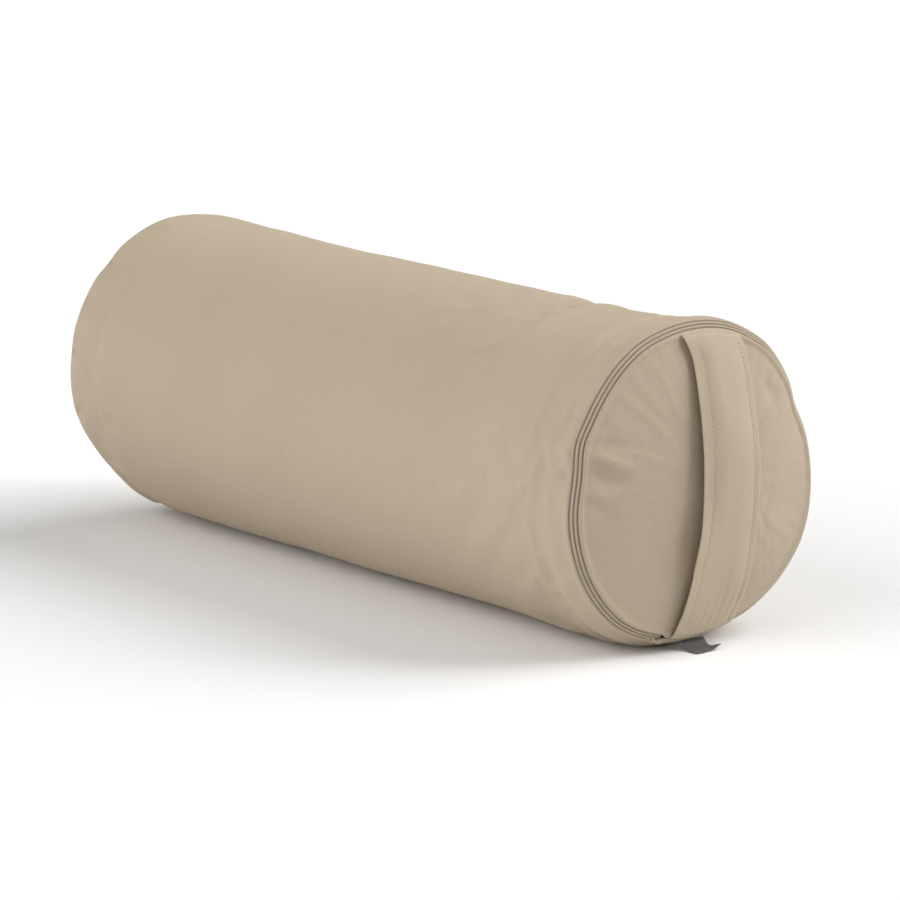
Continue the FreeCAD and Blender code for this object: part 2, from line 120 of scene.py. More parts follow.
# ---- round grids ----
ANGLES = np.arange(0, 360, 1.5) - 180  # columns
ARC = 1.92  # millimetres of cloth around the tube per degree
FLARE_START = 205.0  # distance from the middle at which the tube starts to follow the soft end seams


# ---- small tools ----
def smooth_step(t):
    t = np.clip(t, 0, 1)
    return t * t * (3 - 2 * t)


def smooth_stray(angles, table=RING_STRAY):
    """Outward shift of an end seam at these angles, in millimetres."""
    known, shifts = zip(*table)
    shares = ((-4, 0.1), (-2, 0.22), (0, 0.36), (2, 0.22), (4, 0.1))
    return sum(share * np.interp(angles + turn, known, shifts, period=360) for turn, share in shares)


def cone(u, w):
    """(x, radius) across the zip: u from the tube side to the end panel's side, w outward."""
    return ZIP_X + (u + w) * ROOT, ZIP_R + (w - u) * ROOT


def unit(vectors):
    return vectors / np.linalg.norm(vectors, axis=-1, keepdims=True)


def distances_along(path):
    """Distance of each point of a path from its start."""
    return np.concatenate([[0], np.cumsum(np.linalg.norm(np.diff(path, axis=0), axis=1))])


def ease(values, times):
    """Smooths a row of values in place; its two ends stay."""
    for _ in range(times):
        values[1:-1] = (values[:-2] + 2 * values[1:-1] + values[2:]) / 4


def surface_of(obj):
    """A tree for finding spots on an object, in millimetres."""
    points = [v.co / MM for v in obj.data.vertices]
    return BVHTree.FromPolygons(points, [list(p.vertices) for p in obj.data.polygons])


def touch(tree, start, toward):
    """Where a straight line from start first meets the surface, and the surface's normal there."""
    spot, normal, _, _ = tree.ray_cast(Vector(start), Vector(toward).normalized())
    return spot, normal


def touch_front(tree, y, z):
    """The same, looking back from beyond the strap's end."""
    return touch(tree, (OUTSIDE, y, z), (-1, 0, 0))


def segment_share(points, start, end):
    """(share along start-end, distance from it) of each point."""
    start, end = np.array(start, float), np.array(end, float)
    along = end - start
    share = ((points - start) @ along) / (along @ along)
    near = start + np.clip(share, 0, 1)[..., None] * along
    return share, np.linalg.norm(points - near, axis=-1)


def fold_height(points, folds):
    """Height of soft folds at each 2-D point. A fold is full at its start and fades towards its end."""
    height = np.zeros(points.shape[:-1])
    for start, end, half_width, size in folds:
        share, distance = segment_share(points, start, end)
        fade = 1 - smooth_step((share - 0.25) / 0.75)
        width = half_width * (0.7 + 0.6 * np.clip(share, 0, 1))
        height += size * fade * np.exp(-((distance / width) ** 2))
    return height


def uneven(points, size, seed):
    """Smooth noise between about -1 and 1 at each 3-D point, for features of this size."""
    flat = points.reshape(-1, 3) / size + seed
    return np.array([noise.noise(Vector(p)) for p in flat]).reshape(points.shape[:-1]) * 2


# ---- meshes ----
def grid_faces(rows, cols, closed):
    """Quads over a grid of points; closed joins the last column to the first."""
    faces = []
    for i in range(rows - 1):
        for j in range(cols if closed else cols - 1):
            k = (j + 1) % cols
            faces.append((i * cols + j, i * cols + k, (i + 1) * cols + k, (i + 1) * cols + j))
    return faces


def end_caps(rows, cols):
    """The two faces that shut the ends of a closed grid."""
    return [tuple(range(cols))[::-1], tuple((rows - 1) * cols + j for j in range(cols))]


def grid_normals(points, closed):
    down = np.gradient(points, axis=0)
    if closed:
        wide = np.concatenate([points[:, -1:], points, points[:, :1]], axis=1)
        across = np.gradient(wide, axis=1)[:, 1:-1]
    else:
        across = np.gradient(points, axis=1)
    return unit(np.cross(down, across))


def new_object(name, points, faces, material, uv=None, wrap=0.0):
    """A smooth mesh object; uv is a pair in millimetres for each point, wrap its length around a tube."""
    mesh = bpy.data.meshes.new(name)
    mesh.from_pydata((np.asarray(points, float).reshape(-1, 3) * MM).tolist(), [], faces)
    if uv is not None:
        loops = np.empty(len(mesh.loops), int)
        mesh.loops.foreach_get("vertex_index", loops)
        corners = np.asarray(uv, float).reshape(-1, 2)[loops]
        if wrap:
            quads = corners.reshape(-1, 4, 2)
            behind = quads[:, :, 0] < quads[:, :, 0].max(axis=1, keepdims=True) - wrap / 2
            quads[:, :, 0] += wrap * behind
            corners = quads.reshape(-1, 2)
        mesh.uv_layers.new(name="weave").data.foreach_set("uv", corners.ravel())
    mesh.materials.append(material)
    mesh.shade_smooth()
    obj = bpy.data.objects.new(name, mesh)
    bpy.context.scene.collection.objects.link(obj)
    return obj


def sheet(name, points, closed, thickness, material, uv, wrap=0.0, centre=False):
    """A closed cloth sheet from the grid of its outer face. With centre, its first row closes to a disc."""
    rows, cols = points.shape[:2]
    outer, inner = points, points - grid_normals(points, closed) * thickness
    count = rows * cols
    first = grid_faces(rows, cols, closed)
    faces = first + [tuple(count + i for i in reversed(f)) for f in first]
    vertices = [outer.reshape(-1, 3), inner.reshape(-1, 3)]
    coords = [uv.reshape(-1, 2), uv.reshape(-1, 2)]
    last = cols if closed else cols - 1
    for j in range(last):
        k = (j + 1) % cols
        end = (rows - 1) * cols
        faces.append((end + j, end + k, count + end + k, count + end + j))
        if not centre:
            faces.append((k, j, count + j, count + k))
    if not closed:
        for i in range(rows - 1):
            left, right = i * cols, i * cols + cols - 1
            faces.append((left, left + cols, count + left + cols, count + left))
            faces.append((right + cols, right, count + right, count + right + cols))
    if centre:
        for layer, ring in enumerate((outer[0], inner[0])):
            vertices.append(ring.mean(axis=0, keepdims=True))
            coords.append(uv[0].mean(axis=0, keepdims=True))
            middle = 2 * count + layer
            for j in range(cols):
                pair = (layer * count + j, layer * count + (j + 1) % cols)
                faces.append((middle,) + (pair[::-1] if layer == 0 else pair))
    return facing_out(
        new_object(name, np.concatenate(vertices), faces, material, np.concatenate(coords), wrap)
    )


def facing_out(obj):
    """The same object, with its faces turned outward."""
    work = bmesh.new()
    work.from_mesh(obj.data)
    bmesh.ops.recalc_face_normals(work, faces=work.faces)
    work.to_mesh(obj.data)
    work.free()
    return obj


def subdivided(obj):
    """One smooth subdivision, applied."""
    modifier = obj.modifiers.new("smooth", "SUBSURF")
    modifier.levels = modifier.render_levels = 1
    modifier.use_limit_surface = False
    graph = bpy.context.evaluated_depsgraph_get()
    fine = bpy.data.meshes.new_from_object(obj.evaluated_get(graph))
    obj.modifiers.clear()
    old = obj.data
    obj.data = fine
    bpy.data.meshes.remove(old)
    obj.data.name = obj.name
    obj.data.shade_smooth()


def sweep(name, path, across, out, profile, material):
    """Sweeps a closed profile of (side, up) pairs along an open path with given side and up directions."""
    profile = np.array(profile, float)
    points = path[:, None] + across[:, None] * profile[None, :, :1] + out[:, None] * profile[None, :, 1:]
    rows, cols = points.shape[:2]
    faces = grid_faces(rows, cols, True) + end_caps(rows, cols)
    girth = np.linspace(0, distances_along(profile)[-1], cols)
    uv = np.stack(np.meshgrid(distances_along(path), girth, indexing="ij"), axis=2)
    return facing_out(new_object(name, points, faces, material, uv))


def stitches(name, rows, node, body=None):
    """Short sewn stitches: each row is a list of (spot, outward normal) along a line, closely spaced."""
    sides, rings = 6, 5
    points, faces = [], []
    for row in rows:
        spots = np.array([list(s) for s, _ in row])
        normals = np.array([list(n) for _, n in row])
        length = distances_along(spots)
        for start in np.arange(0.4, length[-1] - STITCH_LENGTH, STITCH_PITCH):
            places = start + STITCH_LENGTH * (0.5 - 0.5 * np.cos(np.linspace(0.12, 0.88, rings) * math.pi))
            middle = np.stack([np.interp(places, length, spots[:, k]) for k in range(3)], axis=1)
            normal = unit(np.stack([np.interp(places, length, normals[:, k]) for k in range(3)], axis=1))
            side = np.cross(unit(middle[-1] - middle[0]), normal)
            bow = np.sin(np.linspace(0, 1, rings) * math.pi)
            base = len(points)
            for i in range(rings):
                radius = STITCH_R * (0.45 + 0.55 * bow[i] ** 0.5)
                core = middle[i] + normal[i] * (0.12 * bow[i] + 0.02)
                for j in range(sides):
                    turn = 2 * math.pi * j / sides
                    arm = side[i] * math.cos(turn) + normal[i] * math.sin(turn)
                    points.append(core + arm * radius)
            for face in grid_faces(rings, sides, True) + end_caps(rings, sides):
                faces.append(tuple(base + i for i in face))
    obj = facing_out(new_object(name, points, faces, THREAD))
    settle(obj, node, body)
    return obj


# ---- materials ----
class Nodes:
    """Shorthand for building one material's node tree."""

    def __init__(self, name):
        self.material = bpy.data.materials.new(name)
        self.material.use_nodes = True
        self.tree = self.material.node_tree
        self.shader = self.tree.nodes["Principled BSDF"]
        self.place = self.add("ShaderNodeTexCoord").outputs["Object"]

    def add(self, kind, **inputs):
        node = self.tree.nodes.new(kind)
        for key, value in inputs.items():
            self.put(node.inputs[key.replace("_", " ")], value)
        return node

    def put(self, socket, value):
        if isinstance(value, bpy.types.NodeSocket):
            self.tree.links.new(value, socket)
        else:
            socket.default_value = value

    def math(self, operation, first, second=0.0):
        node = self.tree.nodes.new("ShaderNodeMath")
        node.operation = operation
        self.put(node.inputs[0], first)
        self.put(node.inputs[1], second)
        return node.outputs[0]

    def plus(self, first, second):
        return self.math("ADD", first, second)

    def times(self, first, second):
        return self.math("MULTIPLY", first, second)

    def noise(self, scale, detail=2.0):
        return self.add("ShaderNodeTexNoise", Scale=scale, Detail=detail, Vector=self.place).outputs["Fac"]

    def spread(self, value, low, high):
        """Maps a 0-1 value to low-high."""
        return self.plus(self.times(value, high - low), low)

    def wave(self, coordinate, pitch):
        """A 0-1 wave along a coordinate."""
        turn = self.times(coordinate, 2 * math.pi / pitch)
        return self.spread(self.math("SINE", turn), 0.5, 1.0)

    def weave_axes(self):
        node = self.add("ShaderNodeUVMap")
        node.uv_map = "weave"
        split = self.add("ShaderNodeSeparateXYZ", Vector=node.outputs["UV"])
        return split.outputs["X"], split.outputs["Y"]

    def tint(self, colour, factor):
        """A colour made lighter or darker by a factor."""
        node = self.tree.nodes.new("ShaderNodeVectorMath")
        node.operation = "SCALE"
        self.put(node.inputs[0], colour)
        self.put(node.inputs["Scale"], factor)
        return node.outputs[0]

    def relief(self, height, strength, distance_mm):
        node = self.add("ShaderNodeBump", Height=height, Strength=strength, Distance=distance_mm * MM)
        self.put(self.shader.inputs["Normal"], node.outputs["Normal"])

    def finish(self, colour, shade, roughness, sheen=0.0):
        for name, value in (
            ("Base Color", self.tint(colour, shade)), ("Roughness", roughness), ("Specular IOR Level", 0.25),
            ("Sheen Weight", sheen), ("Sheen Roughness", 0.6), ("Sheen Tint", (0.9, 0.74, 0.56, 1)),
        ):
            self.put(self.shader.inputs[name], value)
        return self.material


TWILL_PITCH = 1.6  # millimetres between the diagonal ribs


def twill(name, colour, contrast, depth, lean):
    """Cotton twill: diagonal ribs broken by the cross yarns, slubs, soft blotches and slight rubbing."""
    n = Nodes(name)
    u, v = n.weave_axes()
    wander = n.times(n.noise(35.0, 2.0), 0.5)
    diagonal = n.plus(n.plus(n.times(u, lean), v), wander)
    ribs = n.wave(diagonal, TWILL_PITCH * math.sqrt(1 + lean * lean))
    cross = n.wave(n.math("SUBTRACT", u, n.times(v, 0.3)), TWILL_PITCH * 0.4)
    fuzz = n.noise(750.0, 3.0)
    weave = n.plus(n.times(ribs, 0.45), n.times(cross, 0.1))
    height = n.plus(weave, n.times(fuzz, 0.5))
    slubs = n.spread(n.noise(420.0, 3.0), -0.035, 0.035)
    blotches = n.spread(n.noise(9.0, 3.0), -0.05, 0.05)
    shade = n.plus(n.spread(height, 1 - contrast, 1 + contrast), n.plus(slubs, blotches))
    n.relief(height, depth, 0.22)
    roughness = n.spread(n.noise(60.0, 2.0), 0.82, 0.94)
    return n.finish(colour, shade, roughness, 0.12)


def plain_weave(name, colour, pitch, depth):
    """Plain over-and-under weave with soft creasing."""
    n = Nodes(name)
    u, v = n.weave_axes()
    cells = n.times(n.spread(n.wave(u, pitch), -1, 1), n.spread(n.wave(v, pitch), -1, 1))
    crumple = n.noise(45.0, 4.0)
    height = n.plus(n.spread(cells, 0.5, 0.75), n.times(crumple, 1.2))
    shade = n.plus(n.spread(cells, 1.0, 1.05), n.spread(crumple, -0.09, 0.06))
    n.relief(height, depth, 0.3)
    return n.finish(colour, shade, n.spread(n.noise(80.0, 2.0), 0.8, 0.92), 0.15)


def tape_weave(name, colour):
    """Close ribbed tape: fine ribs across it and a faint herringbone."""
    n = Nodes(name)
    u, v = n.weave_axes()
    ribs = n.wave(n.plus(u, n.times(n.wave(v, 2.2), 0.5)), 0.8)
    fuzz = n.noise(1600.0, 2.0)
    height = n.plus(n.times(ribs, 0.7), n.times(fuzz, 0.4))
    shade = n.plus(n.spread(height, 0.95, 1.05), n.spread(n.noise(30.0, 3.0), -0.04, 0.04))
    n.relief(height, 0.4, 0.15)
    return n.finish(colour, shade, n.spread(fuzz, 0.74, 0.88), 0.12)


def thread_look(name, colour):
    """Spun thread: fine slanting plies and lint."""
    n = Nodes(name)
    split = n.add("ShaderNodeSeparateXYZ", Vector=n.place)
    slant = n.plus(n.plus(split.outputs["X"], split.outputs["Y"]), split.outputs["Z"])
    plies = n.wave(slant, 0.45 * MM)
    lint = n.noise(2500.0, 2.0)
    height = n.plus(n.times(plies, 0.7), n.times(lint, 0.5))
    n.relief(height, 0.5, 0.1)
    shade = n.plus(n.spread(plies, 0.92, 1.05), n.spread(lint, -0.05, 0.05))
    return n.finish(colour, shade, n.spread(lint, 0.6, 0.8), 0.2)


def nylon_look(name, colour):
    n = Nodes(name)
    streaks = n.noise(900.0, 3.0)
    n.relief(streaks, 0.25, 0.05)
    shade = n.spread(streaks, 0.93, 1.06)
    return n.finish(colour, shade, n.spread(n.noise(300.0, 2.0), 0.3, 0.48))


def enamel_look(name, colour):
    """Stove enamel on cast zinc: faint orange peel, colour made lighter along edges."""
    n = Nodes(name)
    peel = n.noise(1800.0, 2.0)
    edge = n.add("ShaderNodeBevel", Radius=0.25 * MM)
    edge.samples = 4
    facing = n.tree.nodes.new("ShaderNodeVectorMath")
    facing.operation = "DOT_PRODUCT"
    n.put(facing.inputs[0], edge.outputs["Normal"])
    n.put(facing.inputs[1], n.add("ShaderNodeNewGeometry").outputs["Normal"])
    # Colour made lighter where the bevelled normal turns away from the surface's own, that is along edges.
    edge_lightening = n.times(n.math("SUBTRACT", 1.0, facing.outputs["Value"]), 2.0)
    shade = n.plus(n.spread(peel, 0.95, 1.05), n.times(edge_lightening, 0.25))
    n.relief(peel, 0.15, 0.04)
    n.put(n.shader.inputs["Metallic"], 0.35)
    return n.finish(colour, shade, n.spread(n.noise(500.0, 3.0), 0.22, 0.42))


def satin_look(name, colour):
    """Satin-woven label: fine sheen lines along one way."""
    n = Nodes(name)
    u, v = n.weave_axes()
    lines = n.wave(u, 0.45)
    flecks = n.noise(1100.0, 3.0)
    height = n.plus(lines, n.times(flecks, 0.6))
    n.relief(height, 0.3, 0.06)
    shade = n.plus(n.spread(lines, 0.85, 1.1), n.spread(flecks, -0.12, 0.12))
    return n.finish(colour, shade, n.spread(n.wave(v, 3.0), 0.42, 0.6), 0.15)


def fibre_look(name, colour):
    """Loose fluffy fibre."""
    n = Nodes(name)
    tufts = n.noise(70.0, 8.0)
    strands = n.noise(900.0, 6.0)
    height = n.plus(tufts, n.times(strands, 0.4))
    n.relief(height, 0.9, 2.5)
    return n.finish(colour, n.spread(height, 0.82, 1.12), 0.95, 0.4)


COVER = twill("cover_twill", (0.479, 0.393, 0.290), contrast=0.09, depth=0.5, lean=-1.0)
PANEL = twill("panel_twill", (0.479, 0.393, 0.290), contrast=0.12, depth=0.7, lean=-0.7)
# The strap uses the end's twill with its colour about 4% lighter: painted light, for the strap standing out
# of the shade that falls on the end beside it.
STRAP = twill("strap_twill_painted_lighter", (0.500, 0.412, 0.304), contrast=0.12, depth=0.7, lean=-0.7)
TAPE = tape_weave("zip_tape", (0.470, 0.392, 0.296))
THREAD = thread_look("sewing_thread", (0.580, 0.490, 0.370))
NYLON = nylon_look("coil_nylon", (0.370, 0.300, 0.215))
ENAMEL = enamel_look("enamelled_zinc", (0.520, 0.440, 0.330))
LABEL = satin_look("label_satin", (0.095, 0.095, 0.098))
CALICO = plain_weave("liner_calico", (0.740, 0.700, 0.610), 0.9, 0.45)
FIBRE = fibre_look("filling_fibre", (0.780, 0.720, 0.590))


# ---- what the CAD gives ----
def cad_surface(node):
    return surface_of(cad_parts[node])


def cad_box(node):
    """The two far corners of a CAD piece's box, in millimetres."""
    return [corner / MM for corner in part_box(node)]


CAD_TUBE, CAD_LINER = cad_surface("cover_tube"), cad_surface("liner_tube")
CAD_PANEL, CAD_FAR = cad_surface("handle_end_panel"), cad_surface("far_end_panel")
CAD_STRAP = cad_surface("handle_strap")
TUBE_BOX, FAR_BOX = cad_box("cover_tube"), cad_box("far_end_panel")
LINER_BOX, LINER_END_BOX = cad_box("liner_tube"), cad_box("liner_near_end")
LABEL_BOX, STRAP_BOX = cad_box("side_label"), cad_box("handle_strap")
END_Z = (FAR_BOX[0].z + FAR_BOX[1].z) / 2


def round_profile(tree, xs):
    """(radius, centre height) of a CAD tube at each x."""
    radii, centres = [], []
    for x in xs:
        side, _ = touch(tree, (x, OUTSIDE, END_Z), (0, -1, 0))
        top, _ = touch(tree, (x, 0, OUTSIDE), (0, 0, -1))
        radii.append(side.y)
        centres.append(top.z - side.y)
    radii, centres = np.array(radii), np.array(centres)
    ease(radii, 3)
    ease(centres, 3)
    return radii, centres


def around(x, radius, centre, angles):
    """Points on a circle that faces along X; x, radius and centre may differ from angle to angle."""
    turn = np.radians(angles)
    x, radius = np.broadcast_to(x, turn.shape), np.broadcast_to(radius, turn.shape)
    return np.stack([x, radius * np.cos(turn), centre + radius * np.sin(turn)], axis=-1)


def grid_outward(points):
    """Unit normals of a closed tube grid that point away from its axis."""
    normals = grid_normals(points, True)
    away = (normals * (points - np.array([0, 0, END_Z]))).sum(axis=2).mean()
    return normals * np.sign(away)


def gathers(count, sway, waves, shift=0.0):
    """Uneven gathers around a seam, between -1 and 1."""
    turn = np.radians(ANGLES)
    return np.sin(turn * count + sway * np.sin(turn * waves + shift))


def tube_weave(lengths):
    """Weave coordinates of a grid around the bolster, from the distance of each row along it."""
    return np.stack(np.broadcast_arrays((ANGLES[None, :] + 180) * ARC, lengths[:, None]), axis=2)


def settle(obj, node, body=None):
    """Hides the CAD piece that an object stands for and hangs the object on its body, if one is given."""
    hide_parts(node)
    if body:
        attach(obj, body)


def on_floor(points, softness=1.6, floor=0.15):
    """Presses the underside flat, with a soft edge around the flat part."""
    z = points[..., 2] - floor
    points[..., 2] = (z + np.sqrt(z * z + softness * softness)) / 2 + floor
    return points


# ---- cloth simulation ----
CLOTH_SETTINGS = {
    "quality": 6, "mass": 0.15, "tension_stiffness": 40, "compression_stiffness": 40, "shear_stiffness": 20,
    "bending_stiffness": 0.4, "use_pressure": True, "uniform_pressure_force": 4, "vertex_group_mass": "held",
    "shrink_min": -CLOTH_SLACK,
}


def cloth_ripples(points, outward, limit):
    """Inflates a copy of a round cloth grid by Blender's cloth with air pressure, its edge rows held.
    Gives the ripples that form: how far each point strays outward from its smoothed neighbourhood."""
    rows, cols = points.shape[:2]
    obj = facing_out(new_object("cloth_trial", points, grid_faces(rows, cols, True), COVER))
    held = obj.vertex_groups.new(name="held")
    held.add(list(range(cols)) + list(range((rows - 1) * cols, rows * cols)), 1.0, "REPLACE")
    cloth = obj.modifiers.new("cloth", "CLOTH")
    cloth.settings.effector_weights.gravity = 0
    for name, value in CLOTH_SETTINGS.items():
        setattr(cloth.settings, name, value)
    cloth.collision_settings.use_collision = False
    cloth.point_cache.frame_start = 1
    cloth.point_cache.frame_end = CLOTH_FRAMES
    scene = bpy.context.scene
    for step in range(1, CLOTH_FRAMES + 1):
        scene.frame_set(step)
    graph = bpy.context.evaluated_depsgraph_get()
    moved = np.empty(rows * cols * 3)
    obj.evaluated_get(graph).data.vertices.foreach_get("co", moved)
    moved = moved.reshape(rows, cols, 3) / MM
    mesh = obj.data
    bpy.data.objects.remove(obj)
    bpy.data.meshes.remove(mesh)
    scene.frame_set(1)
    shift = np.clip(np.nan_to_num(((moved - points) * outward).sum(axis=2)), -30, 30)
    ripples = shift - blurred(shift, 14)
    fade = np.minimum(1, np.minimum(np.arange(rows), np.arange(rows)[::-1]) / 3.0)
    return np.clip(ripples, -limit, limit) * fade[:, None]


def blurred(values, times):
    """Repeated neighbour averages over a round grid."""
    for _ in range(times):
        values = (np.roll(values, 1, 1) + 2 * values + np.roll(values, -1, 1)) / 4
        padded = np.concatenate([values[:1], values, values[-1:]])
        values = (padded[:-2] + 2 * values + padded[2:]) / 4
    return values


# ---- cover ----
# The two cloth edges that roll over beside the zip, as (u, w) pairs across it.
TUBE_RIM = [(-5.7, -0.15), (-4.8, 0.35), (-4.0, 0.45), (-3.25, 0.0), (-2.9, -1.0), (-3.6, -2.7)]
PANEL_RIM = [(6.1, -0.5), (5.3, 0.35), (4.2, 0.75), (3.3, 0.25), (2.9, -1.0)]
FOOT_RIM = [(5.2, 0.2), (3.4, 0.85), (1.8, 0.95), (0.6, 0.55), (0.2, -0.6)]  # its edge where there's no zip


def rim_row(u, w):
    """A row of an edge rolled over beside the end seam, at (u, w) across the seam."""
    x, radius = cone(np.asarray(u, float), np.asarray(w, float))
    return around(x, radius + smooth_stray(ANGLES), END_Z, ANGLES)


def seam_flare(xs):
    """How the tube's radius follows the soft end seams as it nears them: rows along X, columns around."""
    near = smooth_step((xs - FLARE_START) / (TUBE_BOX[1].x - FLARE_START))
    far = smooth_step((-xs - FLARE_START) / (-TUBE_BOX[0].x - FLARE_START))
    return near[:, None] * smooth_stray(ANGLES) + far[:, None] * smooth_stray(ANGLES, FAR_STRAY)


def tube_folds(xs):
    """Height of the tube's folds over a grid of these rows."""
    def flat(spot):
        return spot[0], (spot[1] - 360 * (spot[1] > 180)) * ARC

    spots = np.stack(np.broadcast_arrays(xs[:, None], ANGLES[None, :] * ARC), axis=2)
    return fold_height(spots, [(flat(a), flat(b), width, height) for a, b, width, height in TUBE_FOLDS])


# How the tube's far edge turns in: (x from its end, radius from its own).
TURNED_IN = [(0.5, -9.0), (0.25, -4.0), (0.1, -1.4), (0.2, -0.25)]


def tube_grid():
    """Outer face of the tube: rows along X, columns around it, with both edges turned in."""
    near, far = TUBE_BOX[1].x, TUBE_BOX[0].x
    xs = np.concatenate([np.linspace(far + 0.6, 230, 106), np.linspace(233.5, near - 2.0, 16)])
    radii, centres = round_profile(CAD_TUBE, xs)
    radius = radii[:, None] + seam_flare(xs)
    points = np.stack([around(x, radius[i], centres[i], ANGLES) for i, x in enumerate(xs)])
    push = tube_folds(xs) + 0.5 * uneven(points, 85.0, 3.0) + 0.22 * uneven(points, 34.0, 8.0)
    outward = grid_outward(points)
    push += cloth_ripples(points, outward, 1.2)
    seam = np.abs((ANGLES - SEAM_ANGLE + 180) % 360 - 180) * ARC
    push -= 0.9 * np.exp(-((seam / 2.2) ** 2))[None, :]
    points = points + outward * push[..., None]
    rolled = [rim_row(u, w) for u, w in TUBE_RIM]
    edge_r = radii[0] + smooth_stray(ANGLES, FAR_STRAY)
    turned_in = [around(far + x, edge_r + r, END_Z, ANGLES) for x, r in TURNED_IN]
    return on_floor(np.concatenate([np.stack(turned_in), points, np.stack(rolled)]))


def build_tube():
    points = tube_grid()
    steps = np.linalg.norm(np.diff(points, axis=0), axis=2).mean(axis=1)
    weave = tube_weave(np.concatenate([[0], np.cumsum(steps)]))
    obj = sheet("cover_tube_cloth", points, True, -CLOTH, COVER, weave, wrap=360 * ARC)
    settle(obj, "cover_tube", "cover")
    return obj


def panel_grid(tree, side, edge_r, edge_shift, folds, seed):
    """Outer face of a round end without its rolled edge: rows from the middle out, columns around it."""
    radii = np.concatenate([[2.0], np.linspace(4.5, edge_r - 1.9, 52)])
    rows = []
    for r in radii:
        heights = []
        for angle in ANGLES[::20]:
            turn = math.radians(angle)
            start = (side * OUTSIDE, r * math.cos(turn), END_Z + r * math.sin(turn))
            heights.append(touch(tree, start, (-side, 0, 0))[0].x)
        share = r / edge_r
        rows.append(around(np.mean(heights), r + edge_shift * share ** 7, END_Z, ANGLES))
    points = np.stack(rows)
    spots = points[..., 1:]
    share = np.linalg.norm(spots - np.array([0, END_Z]), axis=2) / edge_r
    push = fold_height(spots, folds) * (1 - 0.75 * smooth_step((share - 0.86) / 0.12))
    push += (0.55 * uneven(points, 48.0, seed) + 0.2 * uneven(points, 20.0, seed + 4)) * (1 - share ** 8)
    push += 0.16 * gathers(46, 2.5, 3, seed)[None, :] * np.exp(-(((share - 0.96) / 0.05) ** 2))
    push += PANEL_CREASING * cloth_ripples(points, side * grid_normals(points, True), 1.0)
    points[..., 0] += side * push
    return points


def follow_strap(obj):
    """Bakes the placement of a piece of the strap, or of the end behind it, into its mesh."""
    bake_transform(obj)


# The far end's cloth edge that rolls over beside its seam: (x, radius).
FAR_RIM = [
    (-281.9, 103.6), (-281.2, 104.7), (-280.5, 104.6), (-280.25, 103.2), (-280.2, 100.0), (-280.2, 96.6),
]
NEAR_EDGE_R = 100.9  # radius at which the strap's end starts to roll over


def build_ends():
    """Both round ends. Each edge rolls over beside its seam and is turned in."""
    dome = panel_grid(CAD_PANEL, 1, NEAR_EDGE_R, smooth_stray(ANGLES), PANEL_FOLDS, 21.0)
    middle = (ZIP_START + ZIP_END + 360) / 2
    off = np.abs((ANGLES - middle + 180) % 360 - 180)
    foot = 1 - smooth_step((off - abs(ZIP_START - middle) + 3) / 3)
    rim = []
    for (zip_u, zip_w), (foot_u, foot_w) in zip(PANEL_RIM, FOOT_RIM):
        rim.append(rim_row(zip_u + (foot_u - zip_u) * foot, zip_w + (foot_w - zip_w) * foot))
    grid = np.concatenate([dome, np.stack(rim)])
    near = sheet("handle_end_cloth", grid, True, CLOTH, PANEL, grid[..., 1:], centre=True)
    settle(near, "handle_end_panel")
    follow_strap(near)
    far_shift = smooth_stray(ANGLES, FAR_STRAY)
    dome = panel_grid(CAD_FAR, -1, FAR_RIM[0][1], far_shift, [], 31.0)
    rim = np.stack([around(x, r + far_shift, END_Z, ANGLES) for x, r in FAR_RIM])
    grid = np.concatenate([dome, rim])[:, ::-1]
    far = sheet("far_end_cloth", grid, True, CLOTH, COVER, grid[..., 1:] * [-1, 1], centre=True)
    settle(far, "far_end_panel", "cover")


# ---- zip and foot seam ----
def ring_frame(angles):
    """Path along the zip, with its across (towards the end panel) and outward directions."""
    radius = ZIP_R + smooth_stray(angles)
    radial = around(0, 1, 0, angles)
    path = radial * radius[:, None] + np.array([ZIP_X, 0, END_Z])
    ahead = np.array([1.0, 0, 0])
    return path, (ahead - radial) * ROOT, (ahead + radial) * ROOT


def ridge_profile(side, leg):
    """Rounded ridge beside the slit, the leg sewn in behind the cloth, and the lip that shuts the slit."""
    middle, half = (TAPE_LOW + TAPE_HIGH) / 2, (TAPE_HIGH - TAPE_LOW) / 2
    ridge = [(middle - half * math.cos(a), -0.15 + 0.8 * math.sin(a)) for a in np.linspace(0, math.pi, 9)]
    lip = [(0.9, -0.85), (0.03, -0.85), (0.03, -0.6), (TAPE_LOW - 0.05, -0.5)]
    return [(side * u, w) for u, w in ridge + leg + lip]


TUBE_TAPE_LEG = [(2.35, -0.6), (3.0, -0.75), (3.0, -2.9), (6.9, -5.9), (6.6, -6.3), (2.5, -3.4), (2.3, -0.95)]
PANEL_TAPE_LEG = [
    (2.35, -0.6), (3.1, -0.75), (3.3, -2.1), (9.0, -4.9), (13.2, -8.9), (13.0, -9.3), (8.8, -5.4),
    (2.8, -2.6), (2.5, -0.95),
]


def build_tapes():
    path, across, out = ring_frame(np.linspace(ZIP_START, ZIP_END, 330))
    for name, side, leg, node, body in (
        ("zip_tape_on_tube", -1, TUBE_TAPE_LEG, "zip_tape_tube_side", "cover"),
        ("zip_tape_on_end", 1, PANEL_TAPE_LEG, "zip_tape_panel_side", "end_panel"),
    ):
        obj = sweep(name, path, across, out, ridge_profile(side, leg), TAPE)
        settle(obj, node, body)


